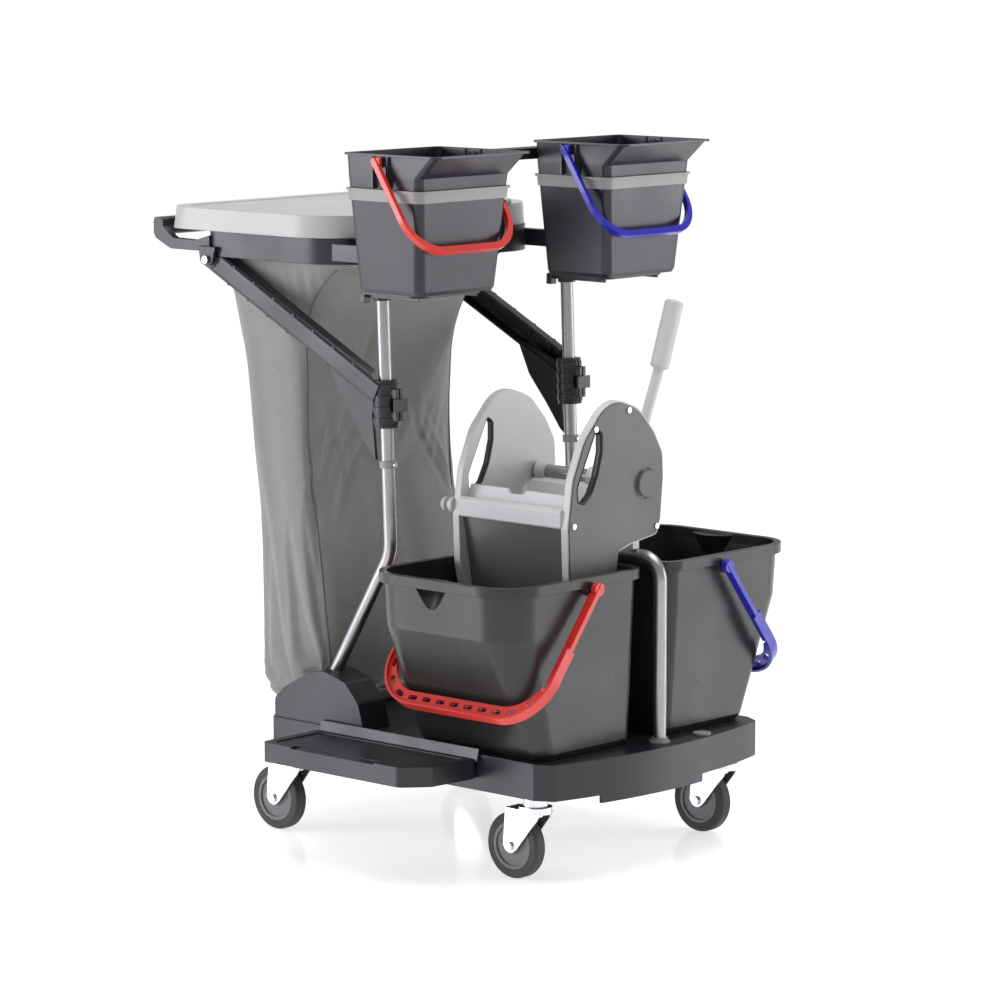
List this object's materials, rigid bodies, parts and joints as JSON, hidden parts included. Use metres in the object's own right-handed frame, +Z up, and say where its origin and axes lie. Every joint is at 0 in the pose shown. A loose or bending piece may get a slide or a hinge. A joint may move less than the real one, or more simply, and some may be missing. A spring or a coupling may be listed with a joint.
{
  "type": "housekeeping cart",
  "caption": "Wheeled mopping and housekeeping cart with twin mop buckets, lever wringer, lidded bag holder, two small buckets and a drop side shelf.",
  "frame": {"origin": "on the floor, under the middle of the cart's bounding box", "axes": "+X from the push handle to the bucket end, +Z up, -Y towards the side shelf"},
  "size_m": [0.88, 0.709, 1.07],
  "materials": {
    "frame_plastic": "moulded near-black polypropylene, satin",
    "bucket_plastic": "moulded charcoal polypropylene, satin",
    "small_bucket_plastic": "moulded charcoal polypropylene, satin",
    "tube_steel": "satin grey powder coat",
    "zinc": "bright zinc plated steel",
    "tyre_rubber": "grey rubber",
    "hub_plastic": "grey nylon",
    "bag_fabric": "grey coated nylon weave",
    "zip_black": "black zip tape",
    "lid_plastic": "pale grey moulded plastic",
    "wringer_plastic": "pale grey moulded plastic",
    "cover_grey": "dark grey cover",
    "basket_grey": "mid grey moulded plastic",
    "band_clear": "translucent grey plastic",
    "red_plastic": "red moulded plastic",
    "blue_plastic": "blue moulded plastic",
    "grip_grey": "pale grey grip",
    "cap_grey": "mid grey plug"
  },
  "bodies": {
    "root": {"caster_stems": "zinc", "base_deck": "frame_plastic", "shelf_hinge_pins": "zinc", "upright_left": "tube_steel", "strut_left": "frame_plastic", "clamp_left": "frame_plastic", "upright_right": "tube_steel", "strut_right": "frame_plastic", "clamp_right": "frame_plastic", "strut_pins": "zinc", "bucket_carriers": "frame_plastic", "stop_rings": "tube_steel", "stop_ring_screws": "zinc", "crossbar": "frame_plastic", "bag_frame": "frame_plastic", "lid_hinge_pins": "zinc", "bag": "bag_fabric", "bag_zipper": "zip_black", "bridge_tube": "tube_steel", "bridge_flanges": "cap_grey", "deck_caps": "cap_grey"},
    "caster_front_left": {"caster_fork_front_left": "zinc"},
    "wheel_front_left": {"wheel_core_front_left": "hub_plastic", "tyre_front_left": "tyre_rubber"},
    "caster_front_right": {"caster_fork_front_right": "zinc"},
    "wheel_front_right": {"wheel_core_front_right": "hub_plastic", "tyre_front_right": "tyre_rubber"},
    "caster_rear_left": {"caster_fork_rear_left": "zinc"},
    "wheel_rear_left": {"wheel_core_rear_left": "hub_plastic", "tyre_rear_left": "tyre_rubber"},
    "caster_rear_right": {"caster_fork_rear_right": "zinc"},
    "wheel_rear_right": {"wheel_core_rear_right": "hub_plastic", "tyre_rear_right": "tyre_rubber"},
    "shelf": {"side_shelf": "frame_plastic"},
    "lid": {"lid": "lid_plastic"},
    "clamp_lever_left": {"clamp_lever_left": "frame_plastic"},
    "small_bucket_left": {"small_bucket_left": "small_bucket_plastic", "bucket_band_left": "band_clear"},
    "small_bail_left": {"small_bail_left": "red_plastic"},
    "big_bucket_left": {"big_bucket_left": "bucket_plastic"},
    "big_bail_left": {"big_bail_left": "red_plastic"},
    "clamp_lever_right": {"clamp_lever_right": "frame_plastic"},
    "small_bucket_right": {"small_bucket_right": "small_bucket_plastic", "bucket_band_right": "band_clear"},
    "small_bail_right": {"small_bail_right": "blue_plastic"},
    "big_bucket_right": {"big_bucket_right": "bucket_plastic"},
    "big_bail_right": {"big_bail_right": "blue_plastic"},
    "wringer": {"wringer_plate_rear": "wringer_plastic", "wringer_plate_front": "wringer_plastic", "wringer_cover": "cover_grey", "cover_screws": "zinc", "front_rail": "wringer_plastic", "wringer_basket": "basket_grey", "sieve_plate": "wringer_plastic", "rail_knob": "basket_grey"},
    "press": {"lever_shaft": "tube_steel", "shaft_cap": "cover_grey", "lever_arm": "tube_steel", "lever_grip": "grip_grey", "press_plate": "basket_grey"}
  },
  "joints": [
    {"name": "swivel_front_left", "type": "hinge", "parent": "root", "child": "caster_front_left", "pos_m": [0.354, -0.194, 0.1], "axis": [0, 0, 1], "continuous": true},
    {"name": "spin_front_left", "type": "hinge", "parent": "caster_front_left", "child": "wheel_front_left", "pos_m": [0.316, -0.194, 0.05], "axis": [0, 1, 0], "continuous": true},
    {"name": "swivel_front_right", "type": "hinge", "parent": "root", "child": "caster_front_right", "pos_m": [0.354, 0.237, 0.1], "axis": [0, 0, 1], "continuous": true},
    {"name": "spin_front_right", "type": "hinge", "parent": "caster_front_right", "child": "wheel_front_right", "pos_m": [0.316, 0.237, 0.05], "axis": [0, 1, 0], "continuous": true},
    {"name": "swivel_rear_left", "type": "hinge", "parent": "root", "child": "caster_rear_left", "pos_m": [-0.146, -0.194, 0.1], "axis": [0, 0, 1], "continuous": true},
    {"name": "spin_rear_left", "type": "hinge", "parent": "caster_rear_left", "child": "wheel_rear_left", "pos_m": [-0.184, -0.194, 0.05], "axis": [0, 1, 0], "continuous": true},
    {"name": "swivel_rear_right", "type": "hinge", "parent": "root", "child": "caster_rear_right", "pos_m": [-0.146, 0.237, 0.1], "axis": [0, 0, 1], "continuous": true},
    {"name": "spin_rear_right", "type": "hinge", "parent": "caster_rear_right", "child": "wheel_rear_right", "pos_m": [-0.184, 0.237, 0.05], "axis": [0, 1, 0], "continuous": true},
    {"name": "shelf_fold", "type": "hinge", "parent": "root", "child": "shelf", "pos_m": [0.066, -0.2345, 0.146], "axis": [1, 0, 0], "range_deg": [0, 80]},
    {"name": "lid_hinge", "type": "hinge", "parent": "root", "child": "lid", "pos_m": [-0.028, 0.0215, 0.9683], "axis": [0, 1, 0], "range_deg": [0, 95]},
    {"name": "clamp_release_left", "type": "hinge", "parent": "root", "child": "clamp_lever_left", "pos_m": [0.06573, -0.1868, 0.68], "axis": [0, 0, 1], "range_deg": [0, 45]},
    {"name": "small_bucket_lift_left", "type": "slide", "parent": "root", "child": "small_bucket_left", "axis": [0, 0, 1], "range_m": [0, 0.15]},
    {"name": "small_bail_swing_left", "type": "hinge", "parent": "small_bucket_left", "child": "small_bail_left", "pos_m": [0.132, -0.1868, 1.058], "axis": [0, 1, 0], "range_deg": [-147, 0]},
    {"name": "big_bucket_lift_left", "type": "slide", "parent": "root", "child": "big_bucket_left", "axis": [0, 0, 1], "range_m": [0, 0.05]},
    {"name": "big_bail_swing_left", "type": "hinge", "parent": "big_bucket_left", "child": "big_bail_left", "pos_m": [0.259, -0.1285, 0.437], "axis": [1, 0, 0], "range_deg": [-140, 0]},
    {"name": "clamp_release_right", "type": "hinge", "parent": "root", "child": "clamp_lever_right", "pos_m": [0.06573, 0.2298, 0.68], "axis": [0, 0, 1], "range_deg": [0, 45]},
    {"name": "small_bucket_lift_right", "type": "slide", "parent": "root", "child": "small_bucket_right", "axis": [0, 0, 1], "range_m": [0, 0.15]},
    {"name": "small_bail_swing_right", "type": "hinge", "parent": "small_bucket_right", "child": "small_bail_right", "pos_m": [0.132, 0.2298, 1.058], "axis": [0, 1, 0], "range_deg": [-147, 0]},
    {"name": "big_bucket_lift_right", "type": "slide", "parent": "root", "child": "big_bucket_right", "axis": [0, 0, 1], "range_m": [0, 0.025]},
    {"name": "big_bail_swing_right", "type": "hinge", "parent": "big_bucket_right", "child": "big_bail_right", "pos_m": [0.259, 0.1715, 0.437], "axis": [-1, 0, 0], "range_deg": [-125, 0]},
    {"name": "wringer_lift", "type": "slide", "parent": "big_bucket_left", "child": "wringer", "axis": [0, 0, 1], "range_m": [0, 0.1]},
    {"name": "press_lever", "type": "hinge", "parent": "wringer", "child": "press", "pos_m": [0.134, 0.0385, 0.572], "axis": [1, 0, 0], "range_deg": [-26, 0]}
  ]
}
